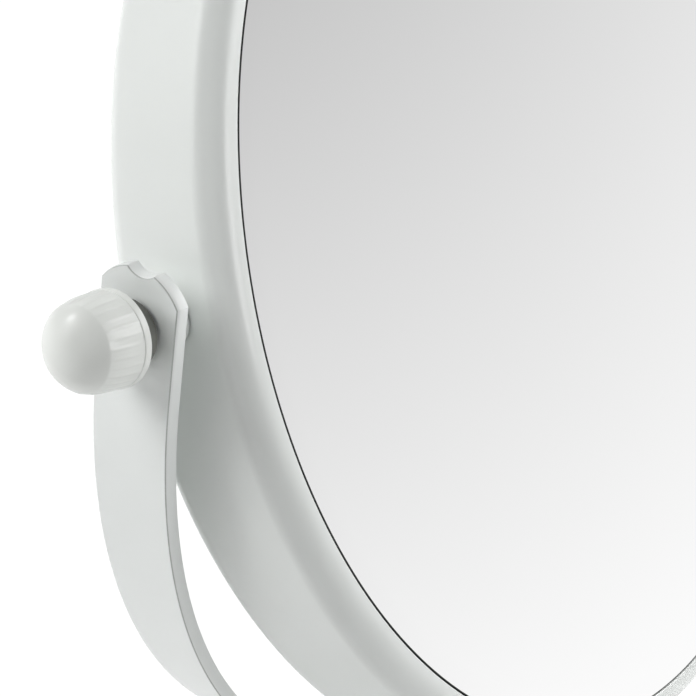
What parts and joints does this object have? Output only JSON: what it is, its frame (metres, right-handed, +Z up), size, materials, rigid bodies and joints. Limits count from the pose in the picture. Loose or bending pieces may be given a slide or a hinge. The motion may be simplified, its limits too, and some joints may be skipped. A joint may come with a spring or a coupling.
{
  "type": "magnifying makeup mirror",
  "caption": "Double-sided table makeup mirror: a round head with a magnifying and a plain mirror tilts between thumb knobs in a bent strap yoke on a stem and weighted base.",
  "frame": {"origin": "centre of the underside of the round base, on the table", "axes": "+Z up the stem, X along the tilt axis through the two knobs, -Y the way the magnifying mirror faces"},
  "size_m": [0.2104, 0.124, 0.2749],
  "materials": {
    "white_plastic": "satin white moulded plastic",
    "knob_plastic": "glossy white moulded plastic",
    "white_paint": "satin white powder coat",
    "mirror_glass": "silvered glass",
    "foam_tape": "dark foam tape",
    "grey_board": "plain grey board",
    "zinc_steel": "bright zinc plating",
    "insert_brass": "plain machined",
    "base_iron": "as cast",
    "pad_rubber": "matt black foam rubber"
  },
  "bodies": {
    "stand": {"yoke_strap": "white_paint", "yoke_screw": "zinc_steel", "yoke_washer": "zinc_steel", "yoke_seat": "white_paint", "stem_tube": "white_paint", "stem_top_plug": "zinc_steel", "stem_bottom_plug": "zinc_steel", "stem_collar": "white_paint", "base_shell": "white_paint", "base_weight": "base_iron", "base_bolt": "zinc_steel", "base_washer": "zinc_steel", "base_pad": "pad_rubber"},
    "head": {"head_ring": "white_plastic", "magnifying_mirror": "mirror_glass", "plain_mirror": "mirror_glass", "front_tape_ring": "foam_tape", "rear_tape_ring": "foam_tape", "backing_board": "grey_board", "left_stud_plate": "zinc_steel", "right_stud_plate": "zinc_steel", "left_pivot_stud": "zinc_steel", "right_pivot_stud": "zinc_steel", "left_spacer": "white_plastic", "right_spacer": "white_plastic", "left_washer": "zinc_steel", "right_washer": "zinc_steel"},
    "knob_left": {"left_knob": "knob_plastic", "left_knob_insert": "insert_brass"},
    "knob_right": {"right_knob": "knob_plastic", "right_knob_insert": "insert_brass"}
  },
  "joints": [
    {"name": "head_tilt", "type": "hinge", "parent": "stand", "child": "head", "pos_m": [0, 0, 0.195], "axis": [1, 0, 0], "continuous": true},
    {"name": "left_knob_turn", "type": "hinge", "parent": "head", "child": "knob_left", "pos_m": [-0.0987, 0, 0.195], "axis": [-1, 0, 0], "range_deg": [0, 360]},
    {"name": "right_knob_turn", "type": "hinge", "parent": "head", "child": "knob_right", "pos_m": [0.0987, 0, 0.195], "axis": [1, 0, 0], "range_deg": [0, 360]}
  ]
}
